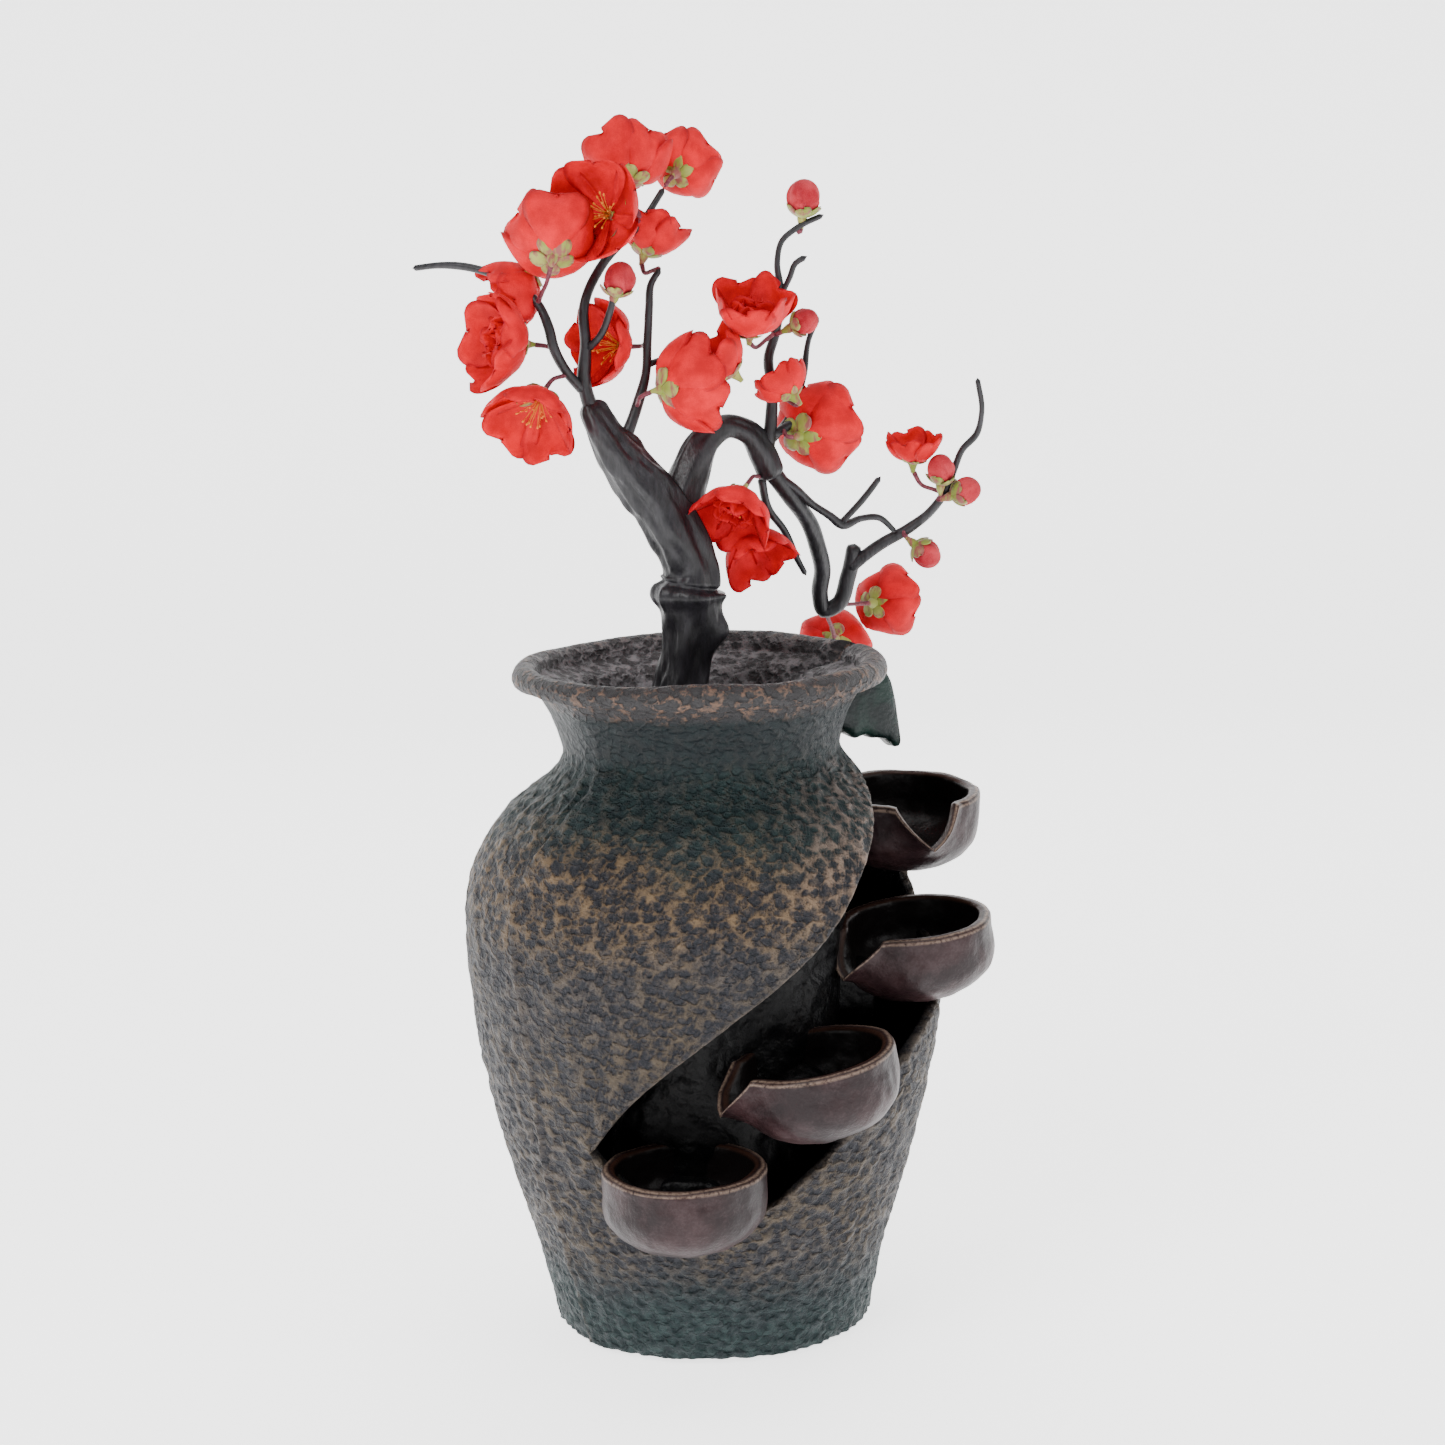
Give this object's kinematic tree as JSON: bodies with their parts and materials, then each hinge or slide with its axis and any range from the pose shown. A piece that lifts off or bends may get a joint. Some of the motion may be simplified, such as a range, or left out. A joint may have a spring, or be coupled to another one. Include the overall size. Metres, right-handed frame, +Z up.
{
  "type": "tabletop water fountain",
  "caption": "Tabletop fountain: resin vase cut open in a spiral with cascading bowls, hidden pump, and an artificial blossom branch in its mouth.",
  "frame": {"origin": "centre of the bottom of the middle rubber foot, on the vase's axis, on the table", "axes": "+Z up along the vase's axis; -Y is the front, where the lowest bowl is; +X is the viewer's right, where the cascade climbs"},
  "size_m": [0.2285, 0.2129, 0.481],
  "materials": {
    "vase_resin": "hand-painted hammered resin: charcoal pits with dry-brushed ochre and dark teal bands",
    "spout_resin": "dark teal painted resin with an eggshell sheen",
    "bowl_resin": "plum brown resin dry-brushed with dusty pink, pale edge line",
    "recess_resin": "near-black resin, semi-gloss as if wet",
    "basin_resin": "dark grey textured resin",
    "steel": "stainless steel",
    "magnet": "sintered ferrite, dull grey",
    "clear_tube": "translucent soft PVC",
    "black_rubber": "soft black rubber",
    "sponge": "open-cell filter foam",
    "pale_plastic": "off-white moulded plastic",
    "plug_plastic": "dark moulded plastic",
    "branch_plastic": "charcoal moulded plastic with bark lines, satin",
    "red_silk": "bright red dyed silk cloth",
    "bud_silk": "pinkish red buds with lime calyx",
    "pump_plastic": "black moulded plastic"
  },
  "bodies": {
    "root": {"vase_shell": "vase_resin", "base_plate": "pump_plastic", "rubber_feet": "black_rubber", "base_screws": "steel", "cascade_liner": "recess_resin", "cascade_bowl_1": "bowl_resin", "cascade_bowl_2": "bowl_resin", "cascade_bowl_3": "bowl_resin", "cascade_bowl_4": "bowl_resin", "pour_spout": "spout_resin", "upper_basin": "basin_resin", "riser_tube": "clear_tube", "riser_cap": "pump_plastic", "riser_grommet": "black_rubber", "reservoir_tub": "pump_plastic", "jamb_magnets": "magnet", "cord_grommet": "black_rubber", "pump_housing": "pump_plastic", "impeller_cover": "pump_plastic", "intake_grille": "pump_plastic", "impeller_shaft": "steel", "shaft_bushes": "black_rubber", "intake_sponge": "sponge", "suction_cups": "black_rubber"},
    "door": {"rear_door": "vase_resin", "door_magnets": "magnet"},
    "branch": {"tree_plug": "plug_plastic", "trunk": "branch_plastic", "arch_limb": "branch_plastic", "left_twig": "branch_plastic", "centre_twig": "branch_plastic", "upright_twig": "branch_plastic", "hanging_limb": "branch_plastic", "fork_twigs": "branch_plastic", "blossom_01": "red_silk", "blossom_02": "red_silk", "blossom_03": "red_silk", "blossom_04": "red_silk", "blossom_05": "red_silk", "blossom_06": "red_silk", "blossom_07": "red_silk", "blossom_08": "red_silk", "blossom_09": "red_silk", "blossom_10": "red_silk", "blossom_11": "red_silk", "blossom_12": "red_silk", "blossom_13": "red_silk", "blossom_14": "red_silk", "blossom_15": "red_silk", "blossom_16": "red_silk", "blossom_17": "red_silk", "blossom_18": "red_silk", "blossom_19": "red_silk", "small_buds": "bud_silk"},
    "rotor": {"impeller": "pale_plastic", "rotor_magnet": "magnet"},
    "knob": {"flow_knob": "pale_plastic"}
  },
  "joints": [
    {"name": "door_pull", "type": "slide", "parent": "root", "child": "door", "axis": [0, 1, 0], "range_m": [0, 0.06]},
    {"name": "branch_lift", "type": "slide", "parent": "root", "child": "branch", "axis": [0, 0, 1], "range_m": [0, 0.06]},
    {"name": "impeller_spin", "type": "hinge", "parent": "root", "child": "rotor", "pos_m": [0.009, 0.014, 0.027], "axis": [1, 0, 0], "continuous": true},
    {"name": "flow_knob_turn", "type": "hinge", "parent": "root", "child": "knob", "pos_m": [0.032, 0.014, 0.027], "axis": [1, 0, 0], "range_deg": [0, 90]}
  ]
}
